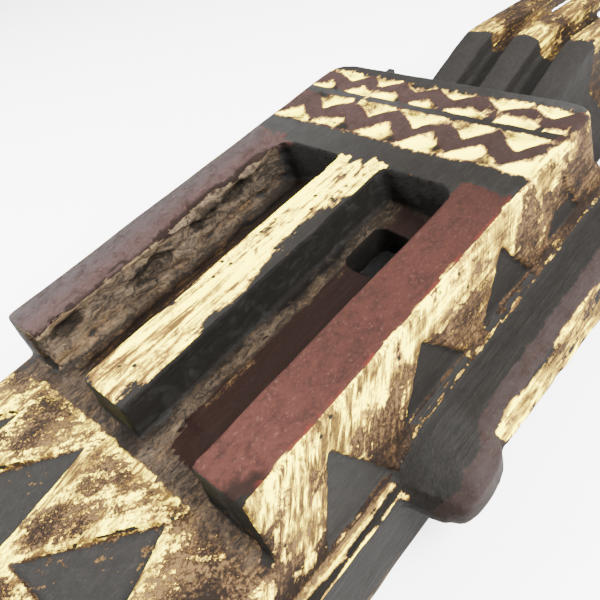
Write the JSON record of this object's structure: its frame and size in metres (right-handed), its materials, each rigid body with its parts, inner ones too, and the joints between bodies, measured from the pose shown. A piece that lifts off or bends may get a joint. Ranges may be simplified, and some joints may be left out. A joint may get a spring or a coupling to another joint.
{
  "type": "carved wooden face mask",
  "caption": "Carved and painted wooden face mask: a box-shaped face with eye channels, long side ears and a ribbed crest, hollow at the back.",
  "frame": {"origin": "middle of the bounding box, on the plane of the rim at the back, on which the mask lies", "axes": "+X across the face, +Y from the chin to the crest, +Z out of the face"},
  "size_m": [0.2216, 0.502, 0.088],
  "materials": {
    "painted_wood": "old wood, worn cream, dark red and grey-black paint"
  },
  "bodies": {
    "root": {"mask": "painted_wood"}
  },
  "joints": []
}
